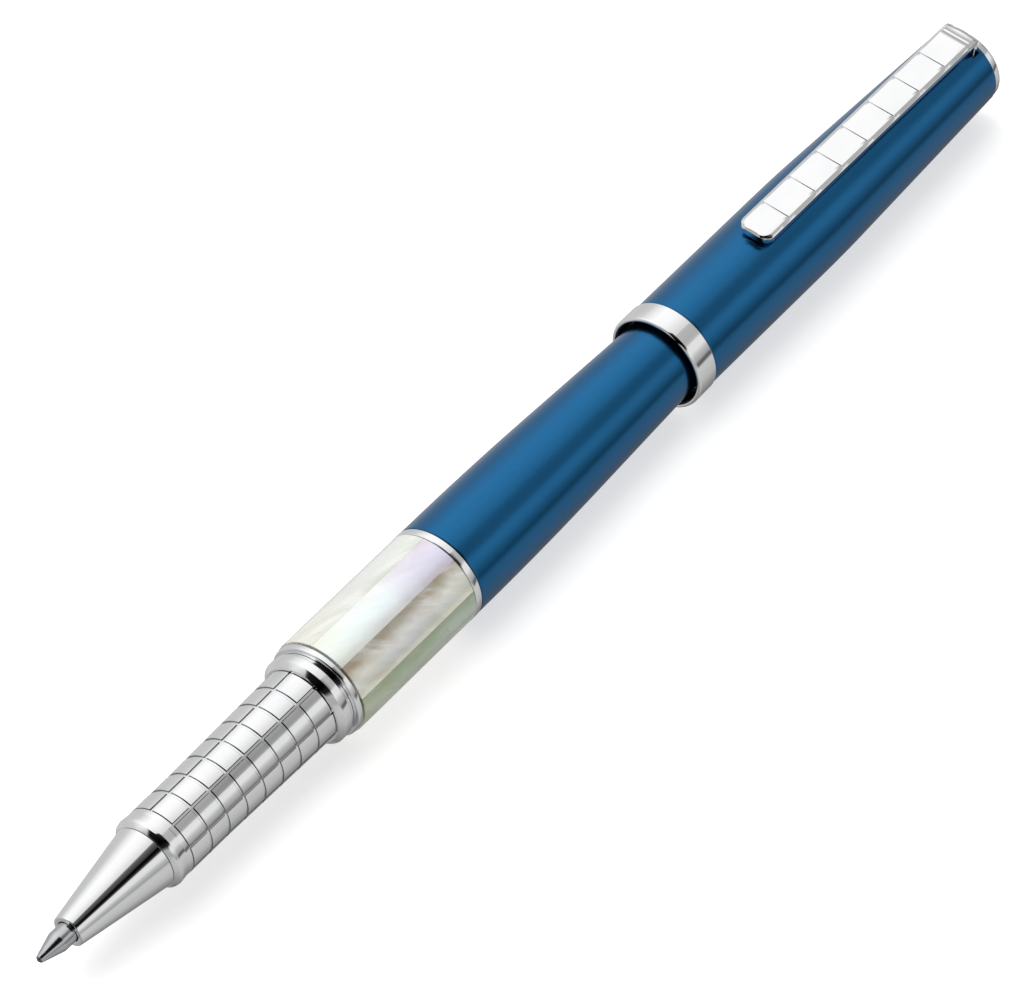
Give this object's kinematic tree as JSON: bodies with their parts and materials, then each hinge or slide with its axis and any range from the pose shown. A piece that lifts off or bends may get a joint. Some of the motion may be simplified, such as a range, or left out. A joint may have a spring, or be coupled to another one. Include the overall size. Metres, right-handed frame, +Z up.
{
  "type": "rollerball pen",
  "caption": "Capped rollerball pen with chrome grip, pearl band, tapered blue barrel, and its clipped cap posted on the rear.",
  "frame": {"origin": "under the middle of the pen's length, level with the lowest point of the cap's lip ring", "axes": "+X along the pen from the writing tip to the cap's closed end, +Z up through the clip"},
  "size_m": [0.1686, 0.0124, 0.0136],
  "materials": {
    "chrome_trim": "polished chrome plating",
    "engraved_chrome": "polished chrome plating over engraved pads",
    "steel_point": "turned steel",
    "blue_lacquer": "satin metallic lacquer on brass",
    "pearl_shell": "polished mother-of-pearl staves",
    "brass_core": "plain turned brass",
    "dark_plastic": "moulded",
    "refill_tube_plastic": "extruded, translucent",
    "ink_fibre": "ink-soaked fibre rod"
  },
  "bodies": {
    "barrel": {"barrel_shell": "blue_lacquer", "trim_ring": "chrome_trim", "barrel_liner": "brass_core", "barrel_bushing": "brass_core", "spring_stop": "dark_plastic", "barrel_end_plug": "chrome_trim", "pearl_stave_1": "pearl_shell", "pearl_stave_2": "pearl_shell", "pearl_stave_3": "pearl_shell", "pearl_stave_4": "pearl_shell", "pearl_stave_5": "pearl_shell", "pearl_stave_6": "pearl_shell", "pearl_stave_7": "pearl_shell", "pearl_stave_8": "pearl_shell", "pearl_stave_9": "pearl_shell"},
    "cap": {"cap_shell": "blue_lacquer", "cap_lip_ring": "chrome_trim", "cap_liner": "dark_plastic", "cap_plug": "dark_plastic", "clip_tang": "chrome_trim", "cap_screw": "steel_point", "cap_end_disc": "chrome_trim"},
    "clip": {"clip_arm": "chrome_trim"},
    "spring": {"refill_spring": "steel_point"},
    "section": {"nose_cone": "chrome_trim", "front_collar": "chrome_trim", "grip_sleeve": "engraved_chrome", "snap_collar": "chrome_trim", "section_ring": "chrome_trim", "section_tube": "brass_core"},
    "refill": {"refill_tip": "steel_point", "refill_holder": "dark_plastic", "ink_core": "ink_fibre", "refill_tube": "refill_tube_plastic", "refill_plug": "dark_plastic"},
    "ball": {"tip_ball": "steel_point"}
  },
  "joints": [
    {"name": "cap_pull", "type": "slide", "parent": "barrel", "child": "cap", "axis": [1, 0, 0], "range_m": [0, 0.03]},
    {"name": "clip_flex", "type": "hinge", "parent": "cap", "child": "clip", "pos_m": [0.0821, 0, 0.0111], "axis": [0, 1, 0], "range_deg": [0, 4], "stiffness_Nm_per_rad": 2},
    {"name": "section_advance", "type": "slide", "parent": "barrel", "child": "spring", "axis": [-1, 0, 0], "range_m": [0, 0.0045]},
    {"name": "section_turn", "type": "hinge", "parent": "spring", "child": "section", "pos_m": [-0.03765, 0, 0.0062], "axis": [-1, 0, 0], "range_deg": [0, 2160]},
    {"name": "refill_push", "type": "slide", "parent": "spring", "child": "refill", "axis": [1, 0, 0], "range_m": [0, 0.0012], "stiffness_N_per_m": 400, "springref_m": -0.001, "deforming": ["refill_spring"]},
    {"name": "ball_roll", "type": "hinge", "parent": "refill", "child": "ball", "pos_m": [-0.0839, 0, 0.0062], "axis": [0, 1, 0], "continuous": true}
  ],
  "couplings": [
    {"joint": "section_advance", "follows": "section_turn", "m_per_rad": 0.00011937}
  ]
}
